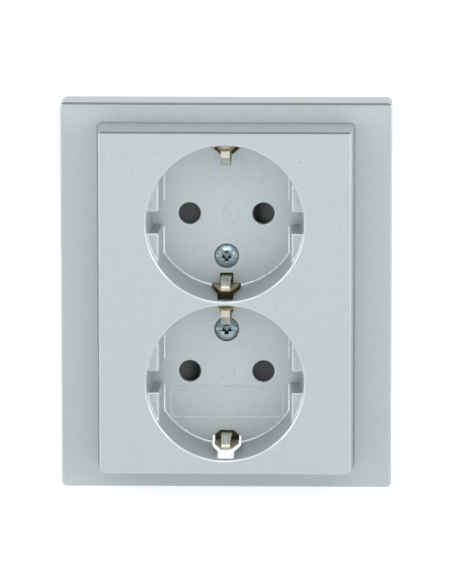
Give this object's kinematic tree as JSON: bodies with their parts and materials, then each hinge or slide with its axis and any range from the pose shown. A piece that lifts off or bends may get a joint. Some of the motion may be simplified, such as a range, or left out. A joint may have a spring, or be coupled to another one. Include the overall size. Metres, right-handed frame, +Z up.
{
  "type": "double schuko socket",
  "caption": "Surface-flush twin earthed wall socket: square frame, one raised cover with two deep round wells, shutters, contacts, screwless terminals and a claw-fixed mounting ring.",
  "frame": {"origin": "midway between the two box screws, on the wall plane", "axes": "+Y into the wall, +Z up along the row of two wells, +X right"},
  "size_m": [0.085, 0.0481, 0.1],
  "materials": {
    "frame_plastic": "satin metallic lacquer",
    "cover_plastic": "satin metallic lacquer",
    "zinc_screw": "blue zinc plated",
    "shutter_plastic": "satin",
    "spring_steel": "bright",
    "base_plastic": "moulded",
    "terminal_plastic": "moulded",
    "ring_steel": "zinc plated",
    "rivet_brass": "plain",
    "earth_metal": "nickel plated",
    "contact_brass": "plain",
    "button_plastic": "moulded"
  },
  "bodies": {
    "socket": {"cover_frame": "frame_plastic", "socket_cover": "cover_plastic", "well_floor_upper": "cover_plastic", "well_floor_lower": "cover_plastic", "cover_screw_upper": "zinc_screw", "cover_screw_lower": "zinc_screw", "shutter_spring_upper": "spring_steel", "shutter_spring_lower": "spring_steel", "base_housing": "base_plastic", "terminal_housing": "terminal_plastic", "mounting_ring": "ring_steel", "ring_rivets": "rivet_brass", "earth_bar": "earth_metal", "earth_clip_top": "earth_metal", "earth_clip_bottom": "earth_metal", "earth_clip_centre": "earth_metal", "line_contact_bar": "contact_brass", "neutral_contact_bar": "contact_brass", "clamp_spring_left": "spring_steel", "clamp_spring_earth": "spring_steel", "clamp_spring_right": "spring_steel"},
    "shutter_upper": {"shutter_upper": "shutter_plastic"},
    "shutter_lower": {"shutter_lower": "shutter_plastic"},
    "release_button_left": {"release_button_left": "button_plastic"},
    "release_button_earth": {"release_button_earth": "button_plastic"},
    "release_button_right": {"release_button_right": "button_plastic"},
    "claw_screw_left": {"claw_screw_left": "zinc_screw"},
    "claw_nut_left": {"claw_nut_left": "ring_steel"},
    "claw_left": {"claw_left": "ring_steel"},
    "claw_screw_right": {"claw_screw_right": "zinc_screw"},
    "claw_nut_right": {"claw_nut_right": "ring_steel"},
    "claw_right": {"claw_right": "ring_steel"}
  },
  "joints": [
    {"name": "shutter_upper_slide", "type": "slide", "parent": "socket", "child": "shutter_upper", "axis": [1, 0, 0], "range_m": [0, 0.0058], "stiffness_N_per_m": 40, "springref_m": -0.002, "deforming": ["shutter_spring_upper"]},
    {"name": "shutter_lower_slide", "type": "slide", "parent": "socket", "child": "shutter_lower", "axis": [-1, 0, 0], "range_m": [0, 0.0058], "stiffness_N_per_m": 40, "springref_m": -0.002, "deforming": ["shutter_spring_lower"]},
    {"name": "release_button_left_press", "type": "slide", "parent": "socket", "child": "release_button_left", "axis": [0, -1, 0], "range_m": [0, 0.0015], "stiffness_N_per_m": 400, "springref_m": -0.0015, "deforming": ["clamp_spring_left"]},
    {"name": "release_button_earth_press", "type": "slide", "parent": "socket", "child": "release_button_earth", "axis": [0, -1, 0], "range_m": [0, 0.0015], "stiffness_N_per_m": 400, "springref_m": -0.0015, "deforming": ["clamp_spring_earth"]},
    {"name": "release_button_right_press", "type": "slide", "parent": "socket", "child": "release_button_right", "axis": [0, -1, 0], "range_m": [0, 0.0015], "stiffness_N_per_m": 400, "springref_m": -0.0015, "deforming": ["clamp_spring_right"]},
    {"name": "claw_nut_left_slide", "type": "slide", "parent": "socket", "child": "claw_nut_left", "axis": [0, -1, 0], "range_m": [0, 0.0025]},
    {"name": "claw_screw_left_spin", "type": "hinge", "parent": "socket", "child": "claw_screw_left", "pos_m": [-0.0242, -0.0012, 0], "axis": [0, 1, 0], "continuous": true},
    {"name": "claw_left_swing", "type": "hinge", "parent": "claw_nut_left", "child": "claw_left", "pos_m": [-0.0274, 0.0135, 0], "axis": [0, 0, -1], "range_deg": [0, 30]},
    {"name": "claw_nut_right_slide", "type": "slide", "parent": "socket", "child": "claw_nut_right", "axis": [0, -1, 0], "range_m": [0, 0.0025]},
    {"name": "claw_screw_right_spin", "type": "hinge", "parent": "socket", "child": "claw_screw_right", "pos_m": [0.0242, -0.0012, 0], "axis": [0, 1, 0], "continuous": true},
    {"name": "claw_right_swing", "type": "hinge", "parent": "claw_nut_right", "child": "claw_right", "pos_m": [0.0274, 0.0135, 0], "axis": [0, 0, 1], "range_deg": [0, 30]}
  ],
  "couplings": [
    {"joint": "claw_screw_left_spin", "follows": "claw_nut_left_slide", "rad_per_m": 12566},
    {"joint": "claw_left_swing", "follows": "claw_nut_left_slide", "rad_per_m": 139.63},
    {"joint": "claw_screw_right_spin", "follows": "claw_nut_right_slide", "rad_per_m": 12566},
    {"joint": "claw_right_swing", "follows": "claw_nut_right_slide", "rad_per_m": 139.63}
  ]
}
